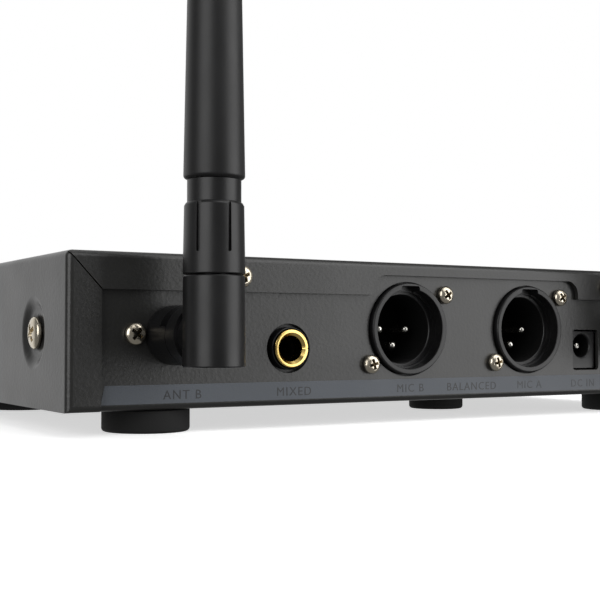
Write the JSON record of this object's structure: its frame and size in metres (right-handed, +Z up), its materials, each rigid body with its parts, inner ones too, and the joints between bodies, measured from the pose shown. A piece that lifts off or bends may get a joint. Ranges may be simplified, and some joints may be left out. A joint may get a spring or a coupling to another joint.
{
  "type": "wireless microphone receiver",
  "caption": "Half-rack wireless audio receiver in a sheet-metal case, with swivelling whip antennas, balanced sockets, a mixed jack output, display windows and volume knobs.",
  "frame": {"origin": "on the ground, under the middle of the bounding box", "axes": "+Z up, +X along the case's width towards antenna B, +Y out of the connector panel; the controls face -Y"},
  "size_m": [0.2114, 0.1736, 0.146],
  "materials": {
    "painted_steel": "fine textured semi-matt charcoal powder coat",
    "foot_rubber": "matt moulded black rubber",
    "nickel_plated_screw": "bright nickel plate",
    "gold_plated_bush": "polished gold plate",
    "silver_plated_contact": "bright silver plate",
    "circuit_board": "green solder mask",
    "bright_metal": "tinned or plain metal",
    "smoked_acrylic": "polished smoked acrylic",
    "grey_plastic": "satin grey plastic",
    "ribbon_cable_grey": "grey vinyl",
    "fascia_plastic": "satin black moulding",
    "moulded_black_plastic": "satin black moulding"
  },
  "bodies": {
    "case": {"antenna_base_a": "moulded_black_plastic", "antenna_base_b": "moulded_black_plastic", "chassis_tray": "painted_steel", "dc_inlet_body": "moulded_black_plastic", "dc_inlet_pin": "silver_plated_contact", "display_module_a": "grey_plastic", "display_module_b": "grey_plastic", "display_window_a": "smoked_acrylic", "display_window_b": "smoked_acrylic", "foot_a_front": "foot_rubber", "foot_a_rear": "foot_rubber", "foot_b_front": "foot_rubber", "foot_b_rear": "foot_rubber", "foot_middle": "foot_rubber", "front_board": "circuit_board", "front_fascia": "fascia_plastic", "front_ribbon_cable": "ribbon_cable_grey", "lip_screw_a": "nickel_plated_screw", "lip_screw_b": "nickel_plated_screw", "main_board": "circuit_board", "panel_screw_a": "nickel_plated_screw", "panel_screw_b": "nickel_plated_screw", "phone_jack_body": "moulded_black_plastic", "phone_jack_bush": "gold_plated_bush", "potentiometer_a": "bright_metal", "potentiometer_b": "bright_metal", "power_switch": "moulded_black_plastic", "regulator_heatsink": "bright_metal", "side_screw_a_front": "nickel_plated_screw", "side_screw_a_rear": "nickel_plated_screw", "side_screw_b_front": "nickel_plated_screw", "side_screw_b_rear": "nickel_plated_screw", "top_cover": "painted_steel", "tuner_shield_a": "bright_metal", "tuner_shield_b": "bright_metal", "xlr_pin_a_1": "silver_plated_contact", "xlr_pin_a_2": "silver_plated_contact", "xlr_pin_a_3": "silver_plated_contact", "xlr_pin_b_1": "silver_plated_contact", "xlr_pin_b_2": "silver_plated_contact", "xlr_pin_b_3": "silver_plated_contact", "xlr_screw_a_lower": "nickel_plated_screw", "xlr_screw_a_upper": "nickel_plated_screw", "xlr_screw_b_lower": "nickel_plated_screw", "xlr_screw_b_upper": "nickel_plated_screw", "xlr_socket_a": "moulded_black_plastic", "xlr_socket_b": "moulded_black_plastic"},
    "antenna_a": {"antenna_knuckle_a": "moulded_black_plastic", "antenna_grip_a": "moulded_black_plastic", "antenna_whip_a": "moulded_black_plastic"},
    "volume_a": {"volume_knob_a": "moulded_black_plastic", "pot_shaft_a": "bright_metal"},
    "set_key_a": {"set_button_a": "grey_plastic"},
    "antenna_b": {"antenna_knuckle_b": "moulded_black_plastic", "antenna_grip_b": "moulded_black_plastic", "antenna_whip_b": "moulded_black_plastic"},
    "volume_b": {"volume_knob_b": "moulded_black_plastic", "pot_shaft_b": "bright_metal"},
    "set_key_b": {"set_button_b": "grey_plastic"},
    "power_key": {"power_button": "grey_plastic"}
  },
  "joints": [
    {"name": "antenna_a_swing", "type": "hinge", "parent": "case", "child": "antenna_a", "pos_m": [-0.07855, 0.07985, 0.0231], "axis": [0, 1, 0], "range_deg": [-90, 90]},
    {"name": "antenna_b_swing", "type": "hinge", "parent": "case", "child": "antenna_b", "pos_m": [0.07855, 0.07985, 0.0231], "axis": [0, 1, 0], "range_deg": [-90, 90]},
    {"name": "volume_a_turn", "type": "hinge", "parent": "case", "child": "volume_a", "pos_m": [-0.02, -0.08, 0.0237], "axis": [0, -1, 0], "range_deg": [-150, 150]},
    {"name": "volume_b_turn", "type": "hinge", "parent": "case", "child": "volume_b", "pos_m": [0.062, -0.08, 0.0237], "axis": [0, -1, 0], "range_deg": [-150, 150]},
    {"name": "set_key_a_press", "type": "slide", "parent": "case", "child": "set_key_a", "axis": [0, 1, 0], "range_m": [0, 0.0015], "stiffness_N_per_m": 400},
    {"name": "set_key_b_press", "type": "slide", "parent": "case", "child": "set_key_b", "axis": [0, 1, 0], "range_m": [0, 0.0015], "stiffness_N_per_m": 400},
    {"name": "power_key_press", "type": "slide", "parent": "case", "child": "power_key", "axis": [0, 1, 0], "range_m": [0, 0.0015], "stiffness_N_per_m": 500}
  ]
}
